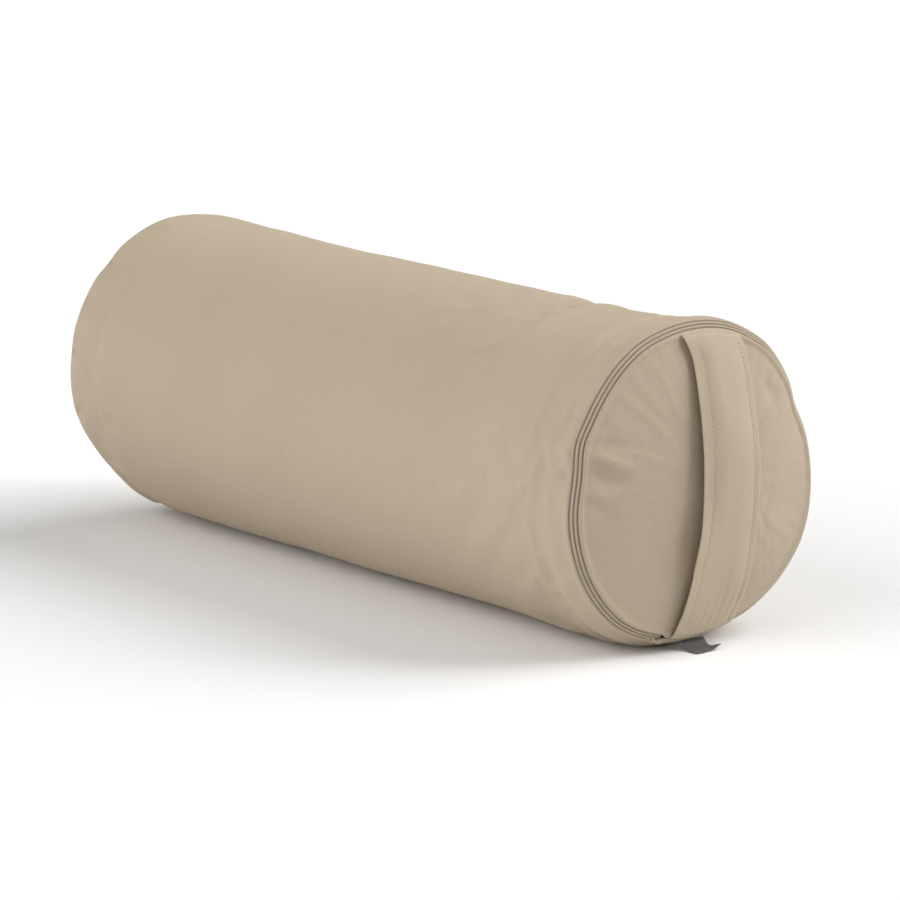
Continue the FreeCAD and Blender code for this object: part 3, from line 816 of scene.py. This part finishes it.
def build_coils():
    """Each zip coil as a fine wound wire."""
    steps_per_turn = 8
    for side, name, node, body in (
        (-1, "zip_coil_on_tube", "zip_coil_tube_side", "cover"),
        (1, "zip_coil_on_end", "zip_coil_panel_side", "end_panel"),
    ):
        length = math.radians(ZIP_START - ZIP_END) * ZIP_R
        turns = int(length / COIL_PITCH)
        angles = np.linspace(ZIP_START, ZIP_END, turns * steps_per_turn + 1)
        path, across, out = ring_frame(angles)
        winding = np.linspace(0, turns * 2 * math.pi, len(angles))[:, None]
        arm = across * np.cos(winding) + out * np.sin(winding) * 1.1
        wire = path + across * (side * COIL_U) + out * COIL_W + arm * COIL_R
        along = unit(np.gradient(wire, axis=0))
        second = unit(np.cross(along, arm))
        first = np.cross(second, along)
        square = [(COIL_WIRE_R, 0), (0, COIL_WIRE_R), (-COIL_WIRE_R, 0), (0, -COIL_WIRE_R)]
        obj = sweep(name, wire, first, second, square, NYLON)
        settle(obj, node, body)


def build_foot_seam():
    """The short zipless stretch under the strap's foot: a folded cloth edge and its thread."""
    angles = np.linspace(ZIP_END + 360, ZIP_START, 40)
    path, across, out = ring_frame(angles)
    fold = [(-4.0, -0.35), (-3.6, 0.35), (-2.2, 0.65), (-0.9, 0.5), (-0.35, 0.0), (-0.6, -0.45), (-2.2, -0.5)]
    edge = sweep("foot_seam_edge", path, across, out, fold, COVER)
    settle(edge, "foot_seam_strip", "cover")
    row = list(zip(path - across * 2.0 - out * 0.55, -out))
    stitches("foot_seam_thread", [row], "foot_seam_stitch", "cover")


def build_zip_threads():
    """Thread rows that hold the tapes, seen when the end hangs open."""
    angles = np.linspace(ZIP_START - 1, ZIP_END + 1, 400)
    inward = -around(0, 1, 0, angles)
    lift = smooth_stray(angles)[:, None]
    ring = np.array([TUBE_BOX[1].x - 3.3, 0, END_Z]) - inward * (105.0 + lift)
    stitches("zip_thread_on_tube", [list(zip(ring, inward))], "zip_stitch_tube_side", "cover")
    behind = np.array([-1.0, 0, 0]) + 0 * inward
    ring = np.array([283.3, 0, END_Z]) - inward * (95.9 + lift)
    stitches("zip_thread_on_end", [list(zip(ring, behind))], "zip_stitch_panel_side", "end_panel")


def lengthwise_row(obj, angle, xs):
    """(spot, outward normal) pairs along a tube at this angle."""
    surface = surface_of(obj)
    outward = around(0, 1, 0, [angle])[0]
    return [touch(surface, np.array([x, 0, END_Z]) + outward * OUTSIDE, -outward) for x in xs]


def build_cover_threads(tube):
    """Threads of the far end seam, on the inside, and of the tube's lengthwise seam."""
    angles = np.linspace(0, 360, 500)
    ring = around(TUBE_BOX[0].x + 1.5, 99.5 + smooth_stray(angles, FAR_STRAY), END_Z, angles)
    stitches("far_rim_thread", [[(spot, (1, 0, 0)) for spot in ring]], "far_rim_stitch", "cover")
    row = lengthwise_row(tube, SEAM_ANGLE - 1.4, np.linspace(TUBE_BOX[0].x + 6, TUBE_BOX[1].x - 5, 300))
    stitches("long_seam_thread", [row], "long_seam_stitch", "cover")


# ---- strap ----
ROW_INSETS = 8.4, 5.6  # topstitch rows, in from the left and the right edge
SLANT_OF_VIEW = 0.82  # sideways shift per millimetre of depth that keeps an edge on its line of sight
STRAP_HALF = 101.0  # half the height between the strap's ends
TACK_TOP_R, TACK_FOOT_R = 101.3, 101.0  # circles that the thread rows across the ends follow
# The strap's two edges: (height above the end's centre, y).
STRAP_LEFT = [
    (-101, -21.2), (-84, -18.6), (-60, -16.9), (-30, -16.5), (10, -17.4), (35, -16.2), (55, -15.4),
    (85, -13.8), (101, -15.0),
]
STRAP_RIGHT = [
    (-101, 33.0), (-86, 37.5), (-68, 38.5), (-45, 37.6), (-20, 35.2), (0, 34.2), (30, 33.6), (55, 34.4),
    (83, 36.5), (101, 37.0),
]


def strap_edges(s):
    """Y of the strap's two edges at a height s above the end's centre."""
    return [np.interp(s, *zip(*edge)) for edge in (STRAP_LEFT, STRAP_RIGHT)]


def foot_lift(level):
    """How far along the strap's foot this level is: 1 where its right side stands highest."""
    return np.exp(-(((level + 0.7) / 0.22) ** 2))


def strap_grid():
    """Outer face of the strap: rows from its foot to its top, columns across it."""
    shares = np.concatenate([[-1, -0.985, -0.95], np.linspace(-0.88, 0.88, 27), [0.95, 0.985, 1]])
    middle = (STRAP_BOX[0].y + STRAP_BOX[1].y) / 2
    foot_rows, top_rows = np.linspace(-1, -0.9, 9)[:-1], np.linspace(0.9, 1, 9)[1:]
    levels = np.concatenate([foot_rows, np.linspace(-0.9, 0.9, 72), top_rows])
    points = np.zeros((len(levels), len(shares), 3))
    for i, level in enumerate(levels):
        left, right = strap_edges(level * STRAP_HALF)
        y = (left + right) / 2 + shares * (right - left) / 2
        reach = STRAP_TOP_R if level > 0 else STRAP_FOOT_R
        s = level * np.sqrt(reach ** 2 - y ** 2)
        height = np.clip(level * STRAP_HALF, 0.6 - STRAP_HALF, STRAP_HALF - 0.6)
        x = touch_front(CAD_STRAP, middle, END_Z + height)[0].x + 0 * y
        ends = smooth_step((1 - abs(level)) / 0.2)
        x += ends * 0.9 * np.clip(-shares, 0, 1) ** 2
        drop = 4.5 * ends * smooth_step((level + 0.45) / 0.5) * smooth_step((-shares - 0.1) / 0.9)
        drop += 2.0 * ends * smooth_step((shares - 0.3) / 0.7) - 2.5 * foot_lift(level) * smooth_step(shares)
        x -= drop
        y += drop * SLANT_OF_VIEW
        room = np.minimum(1, (1 - np.abs(shares)) * (right - left) / 2 / 1.1)
        x -= 0.75 * (1 - np.sqrt(1 - (1 - room) ** 2))
        row = np.minimum(np.abs(y - (y[0] + ROW_INSETS[0])), np.abs(y - (y[-1] - ROW_INSETS[1])))
        x -= 0.45 * np.exp(-((row / 1.1) ** 2)) * ends
        tuck = np.clip((abs(level) - 0.955) / 0.045, 0, 1) ** 2
        x -= tuck * (3.0 if level > 0 else 2.2)
        points[i, :, 0], points[i, :, 1], points[i, :, 2] = x, y, END_Z + s
    foot = np.exp(-(((levels + 0.84) / 0.14) ** 2))[:, None] * (0.6 + 0.5 * shares)[None, :]
    points[..., 0] += 0.38 * foot * np.sin(shares * 23 + 0.8 * np.sin(levels[:, None] * 11))
    sewn = smooth_step((1 - np.abs(levels)) / 0.15)[:, None]
    points[..., 0] += 0.4 * uneven(points, 30.0, 5.0) * sewn
    return points


def build_strap():
    """The carry strap: doubled cloth with hemmed edges, bowed away from the end between its sewn ends."""
    points = strap_grid()
    obj = sheet("carry_strap", points, False, 0.2 - STRAP_T, STRAP, points[..., 1:])
    subdivided(obj)
    settle(obj, "handle_strap")
    surface = surface_of(obj)
    rows = []
    for edge, inset in ((points[:, 0], ROW_INSETS[0]), (points[:, -1], -ROW_INSETS[1])):
        heights = np.linspace(-97, 93, 190)
        ys = np.interp(heights, edge[:, 2] - END_Z, edge[:, 1]) + inset
        rows.append([touch_front(surface, y, END_Z + s) for y, s in zip(ys, heights)])
    topstitch = stitches("strap_topstitch", rows, "handle_topstitch")
    tacks = []
    for radius, side in ((TACK_TOP_R, 1), (TACK_FOOT_R, -1)):
        left, right = strap_edges(97 * side)
        ys = np.linspace(left + 1.5, right - 1.5, 60)
        heights = END_Z + side * np.sqrt(radius ** 2 - ys ** 2)
        spots = [touch_front(surface, y, z) for y, z in zip(ys, heights)]
        tacks.append([spot for spot in spots if spot[0] is not None])
    stitches("strap_tack_stitch", tacks, "handle_tack_stitch", "end_panel")
    follow_strap(obj)
    follow_strap(topstitch)


# ---- label ----
def build_label():
    """A folded label that droops from the foot seam to the floor, one corner curling up."""
    low, high = LABEL_BOX
    knots = np.array([
        (low.x + 0.1, high.z - 0.4), (low.x + 2.0, high.z - 1.6), (low.x + 3.8, 3.2), (low.x + 6.5, 1.3),
        (low.x + 9.8, 0.75), (low.x + 13.2, 0.72), (high.x - 0.2, 0.75),
    ])
    length = distances_along(knots)
    steps = np.linspace(0, length[-1], 26)
    xs, zs = np.interp(steps, length, knots[:, 0]), np.interp(steps, length, knots[:, 1])
    ease(xs, 2)
    ease(zs, 2)
    ys = np.linspace(low.y, high.y, 22)
    points = np.stack(np.broadcast_arrays(xs[:, None], ys[None, :], zs[:, None]), axis=2)
    out = smooth_step((steps / length[-1] - 0.35) / 0.65)[:, None]
    right = smooth_step((ys - (high.y - 9)) / 9)[None, :]
    points[..., 2] += 2.6 * out * right
    points[..., 1] += 2.0 * out * right
    points[..., 2] += 0.25 * out * (1 + np.sin(ys * 0.7))[None, :]
    uv = np.stack(np.meshgrid(steps, ys, indexing="ij"), axis=2)
    obj = sheet("side_label_cloth", points, False, LABEL_T, LABEL, uv)
    subdivided(obj)
    settle(obj, "side_label", "side_label")


# ---- inner cushion ----
def build_liner():
    near, far = LINER_BOX[1].x, LINER_BOX[0].x
    xs = np.linspace(far + 0.3, near - 0.3, 84)
    radii, centres = round_profile(CAD_LINER, xs)
    points = np.stack([around(x, radii[i], centres[i], ANGLES) for i, x in enumerate(xs)])
    edge = np.minimum(xs - xs[0], xs[-1] - xs) / 30
    push = -2.4 - 0.5 * uneven(points, 40.0, 12.0) - 0.35 * uneven(points, 15.0, 2.0)
    push = push + 0.35 * gathers(60, 2, 5)[None, :] * np.exp(-edge[:, None])
    push = np.minimum(push, -1.6) + np.minimum(0, seam_flare(xs) + tube_folds(xs))
    shrunk = points + grid_outward(points) * push[..., None]
    shrunk = on_floor(shrunk, softness=1.0, floor=1.5)
    tube = sheet("liner_tube_cloth", shrunk, True, -LINER_CLOTH, CALICO, tube_weave(xs), wrap=360 * ARC)
    settle(tube, "liner_tube", "cover")
    build_liner_end(1, "liner_near_cloth", "liner_near_end")
    build_liner_end(-1, "liner_far_cloth", "liner_far_end")
    threads = []
    depth = LINER_END_BOX[1].x - LINER_END_BOX[0].x
    seam_r = LINER_END_BOX[1].y
    for side in (-1, 1):
        r = seam_r - 2.7
        x = LINER_END_BOX[0].x + depth * (1 - (r / seam_r) ** 2) + 0.35
        ring = around(side * x, r, END_Z, np.linspace(0, 360, 400))
        threads.append([(spot, (side, 0, 0)) for spot in ring])
    stitches("liner_rim_thread", threads, "liner_rim_stitch", "cover")
    row = lengthwise_row(tube, CLOSING_ANGLE, np.linspace(-CLOSING_HALF, CLOSING_HALF, 160))
    stitches("liner_closing_thread", [row], "liner_closing_stitch", "cover")


def build_liner_end(side, name, node):
    """A gathered round end of the liner."""
    depth = LINER_END_BOX[1].x - LINER_END_BOX[0].x
    seam_r = LINER_END_BOX[1].y - 0.3
    radii = np.concatenate([[2.5], np.linspace(7, seam_r, 30)])
    rows = []
    for r in radii:
        x = LINER_END_BOX[0].x + depth * (1 - (r / LINER_END_BOX[1].y) ** 2) - 0.3
        share = r / seam_r
        ripple = 0.4 * gathers(36, 2, 4, side) * share ** 4 * (1 - share ** 12)
        rows.append(around(side * (x + ripple), r, END_Z, ANGLES))
    points = np.stack(rows)
    points[..., 0] -= side * 0.8 * np.abs(uneven(points, 28.0, 40.0)) * (1 - (radii / seam_r) ** 8)[:, None]
    if side < 0:
        points = points[:, ::-1]
    obj = sheet(name, points, True, LINER_CLOTH, CALICO, points[..., 1:], centre=True)
    settle(obj, node, "cover")


def build_filling():
    """One lumpy body of fibre inside the liner."""
    high = cad_box("filling")[1]
    xs = (high.x - 0.6) * np.sin(np.linspace(-1, 1, 72) * math.pi / 2)
    corner = LINER_BOX[1].x
    inner_x = np.clip(xs, -corner + 4, corner - 4)
    radii, centres = round_profile(CAD_LINER, inner_x)
    radii = radii - 4.4
    seam_r = LINER_END_BOX[1].y - 4.5
    beyond = np.clip((np.abs(xs) - LINER_END_BOX[0].x + 2) / (high.x - LINER_END_BOX[0].x + 2), 0, 1)
    capped = seam_r * np.sqrt(np.clip(1 - beyond, 0, 1))
    near_end = smooth_step((np.abs(xs) - corner + 16) / 12)
    radii = np.where(beyond > 0, capped, radii * (1 - near_end) + np.minimum(radii, seam_r) * near_end)
    radii = np.maximum(radii, 0.8)
    centres = centres * (1 - near_end) + END_Z * near_end
    dents = np.minimum(0, seam_flare(xs) + tube_folds(xs)) * (beyond == 0)[:, None]
    points = np.stack([around(x, radii[i] + dents[i], centres[i], ANGLES) for i, x in enumerate(xs)])
    lumps = 0.9 * np.abs(uneven(points, 30.0, 6.0)) + 0.6 * np.abs(uneven(points, 12.0, 16.0))
    inward = points - np.array([0, 0, END_Z])
    inward[..., 0] = 0
    size = np.linalg.norm(inward, axis=2, keepdims=True)
    points = points - inward / np.maximum(size, 1) * (lumps * np.minimum(1, size[..., 0] / 20))[..., None]
    points = on_floor(points, softness=1.0, floor=2.7)
    rows, cols = points.shape[:2]
    faces = grid_faces(rows, cols, True) + end_caps(rows, cols)
    obj = facing_out(new_object("fibre_filling", points, faces, FIBRE))
    settle(obj, "filling", "cover")


# ---- stage ----
VIEW_AZIMUTH, VIEW_ELEVATION = 50.6, 11.9  # degrees
VIEW_DISTANCE = 3.21  # metres
LENS = 181.8  # focal length, millimetres
AIM_RIGHT, AIM_DOWN = 0.0203, 0.0212  # metres; they put the bolster a little left of and above the middle


def build_camera():
    azimuth, elevation = math.radians(VIEW_AZIMUTH), math.radians(VIEW_ELEVATION)
    right = Vector((math.cos(azimuth), math.sin(azimuth), 0))
    ahead = Vector((-math.sin(azimuth), math.cos(azimuth), 0))
    toward = ahead * math.cos(elevation) - Vector((0, 0, math.sin(elevation)))
    up = right.cross(toward)
    reference = Vector((0, 0, 0.1095))
    camera = bpy.data.objects.new("camera", bpy.data.cameras.new("camera"))
    camera.data.lens = LENS
    camera.data.sensor_width = 36
    camera.data.clip_start = 0.05
    camera.location = reference - toward * VIEW_DISTANCE
    aim = reference + right * AIM_RIGHT - up * AIM_DOWN
    camera.rotation_euler = (aim - camera.location).to_track_quat("-Z", "Y").to_euler()
    bpy.context.scene.collection.objects.link(camera)
    bpy.context.scene.camera = camera


def sun(name, direction, strength, spread):
    """A soft light from far away in this direction, as wide across the sky as spread, in degrees."""
    light = bpy.data.lights.new(name, "SUN")
    light.energy = strength
    light.angle = math.radians(spread)
    obj = bpy.data.objects.new(name, light)
    obj.rotation_euler = Vector(direction).to_track_quat("Z", "Y").to_euler()
    bpy.context.scene.collection.objects.link(obj)


def build_stage():
    floor_look = Nodes("studio_floor")
    grain = floor_look.noise(40.0, 3.0)
    floor_look.relief(grain, 0.05, 0.5)
    to_camera = floor_look.add("ShaderNodeLightPath").outputs["Is Camera Ray"]
    seen_white = floor_look.spread(to_camera, 0.8, 0.97)  # it throws back less light than it shows
    whiteness = floor_look.times(floor_look.spread(grain, 0.99, 1.0), seen_white)
    floor_look.finish((1.0, 1.0, 1.0), whiteness, 0.9)
    points = [(-6000, -6000, 0), (6000, -6000, 0), (6000, 6000, 0), (-6000, 6000, 0)]
    floor = new_object("studio_floor", points, [(0, 1, 2, 3)], floor_look.material)
    world = bpy.data.worlds.new("studio")
    bpy.context.scene.world = world
    world.use_nodes = True
    seen = world.node_tree.nodes.new("ShaderNodeLightPath").outputs["Is Camera Ray"]
    strength = world.node_tree.nodes.new("ShaderNodeMapRange")
    world.node_tree.links.new(seen, strength.inputs["Value"])
    strength.inputs["To Min"].default_value = 0.03
    strength.inputs["To Max"].default_value = 1.0
    backdrop = world.node_tree.nodes["Background"]
    backdrop.inputs["Color"].default_value = (1, 1, 1, 1)
    world.node_tree.links.new(strength.outputs["Result"], backdrop.inputs["Strength"])
    sun("overhead", (0.1, -0.35, 1.0), 0.84, 100)
    sun("right_key", (0.6, 1.2, 0.9), 2.95, 60)
    sun("sharp_key", (1.0, 1.0, 1.0), 0.34, 15)
    sun("left_fill", (-0.3, -1.0, 0.25), 2.55, 80)
    bpy.context.scene.view_settings.view_transform = "Standard"


# ---- build ----
def main():
    tube = build_tube()
    build_ends()
    build_tapes()
    build_coils()
    build_foot_seam()
    build_zip_threads()
    build_cover_threads(tube)
    build_strap()
    build_label()
    build_liner()
    build_filling()
    for name, material in (("zip_slider", ENAMEL), ("zip_pull", ENAMEL), ("zip_stops", NYLON)):
        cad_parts[name].data.materials.clear()
        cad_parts[name].data.materials.append(material)
    build_camera()
    build_stage()


main()
